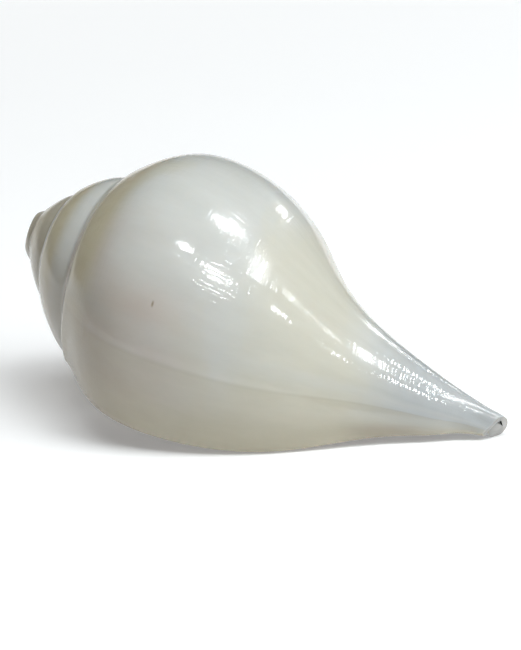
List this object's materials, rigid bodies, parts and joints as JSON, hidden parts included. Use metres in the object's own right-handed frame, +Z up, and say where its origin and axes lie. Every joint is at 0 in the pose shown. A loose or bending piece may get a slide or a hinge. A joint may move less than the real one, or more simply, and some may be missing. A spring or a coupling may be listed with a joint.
{
  "type": "chank shell",
  "caption": "Polished white sea snail shell with a swollen last whorl, a short stepped spire ground off at its point and a long tapering canal, lying on its mouth.",
  "frame": {"origin": "on the ground, under the middle of the shell's bounding box", "axes": "+X towards the canal's end, along the ground; +Y away from the lip; +Z up, as the shell lies"},
  "size_m": [0.1454, 0.0776, 0.0652],
  "materials": {
    "shell": "polished"
  },
  "bodies": {
    "root": {"shell": "shell"}
  },
  "joints": []
}
